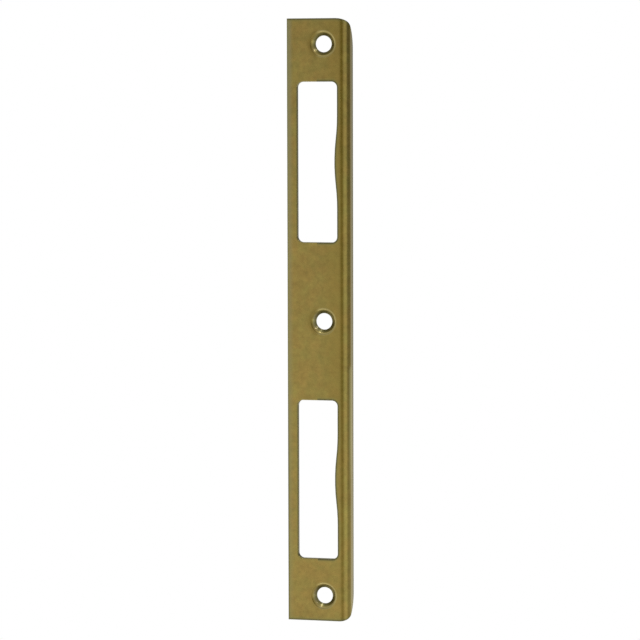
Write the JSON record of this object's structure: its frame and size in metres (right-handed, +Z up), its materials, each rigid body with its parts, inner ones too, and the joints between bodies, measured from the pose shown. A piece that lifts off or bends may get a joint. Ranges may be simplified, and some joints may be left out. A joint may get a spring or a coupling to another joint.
{
  "type": "door strike plate",
  "caption": "Long steel strike plate for a door jamb, with a folded lip along its side, latch and bolt slots, and countersunk screw holes.",
  "frame": {"origin": "centre of the middle screw hole, on the flat face that lies against the jamb", "axes": "+Z up the plate's length, -Y out of the visible face, +X from the free edge towards the lip, which turns back along +Y"},
  "size_m": [0.0208, 0.007, 0.2],
  "materials": {
    "bronze_lacquer": "semi-gloss bronze lacquer with a fine metallic fleck, on sheet steel"
  },
  "bodies": {
    "root": {"strike_plate": "bronze_lacquer"}
  },
  "joints": []
}
